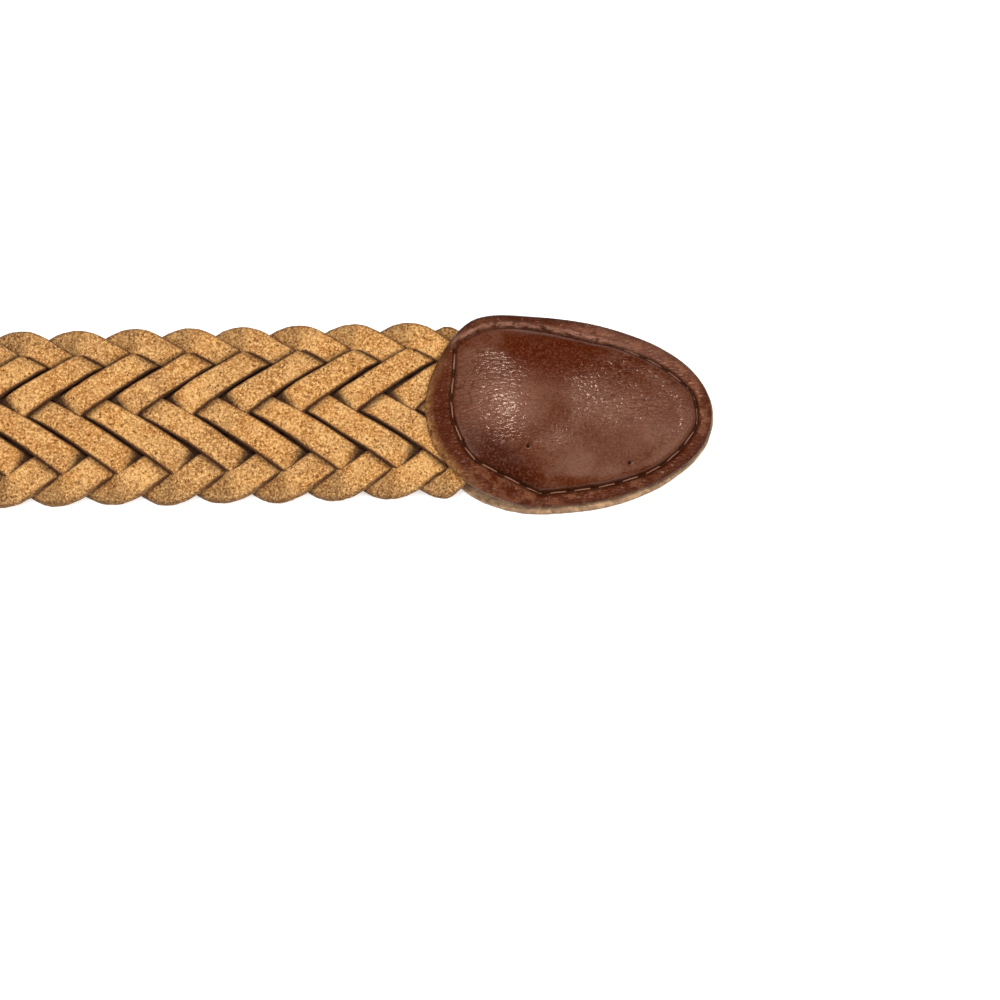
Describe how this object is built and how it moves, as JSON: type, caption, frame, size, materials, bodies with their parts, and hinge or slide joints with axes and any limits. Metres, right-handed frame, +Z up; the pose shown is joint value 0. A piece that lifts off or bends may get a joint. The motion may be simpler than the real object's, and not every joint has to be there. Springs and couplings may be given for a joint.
{
  "type": "braided leather belt",
  "caption": "Flat braided leather belt laid straight, its scalloped band sewn into a padded oval leather tip at one end and folded round a plain buckle at the other.",
  "frame": {"origin": "middle of the whole belt's box at the surface it lies on", "axes": "+X along the belt to the tip's round end, +Y across the belt, +Z up from the surface"},
  "size_m": [1, 0.049, 0.0078],
  "materials": {
    "lace_leather": "matte suede-like tan",
    "tip_leather": "glossy polished brown",
    "backing_leather": "matte raw tan",
    "chape_leather": "satin brown",
    "buckle_metal": "satin"
  },
  "bodies": {
    "root": {"braid_band": "lace_leather", "tip_front": "tip_leather", "tip_back": "backing_leather", "buckle_chape": "chape_leather", "buckle": "buckle_metal"}
  },
  "joints": []
}
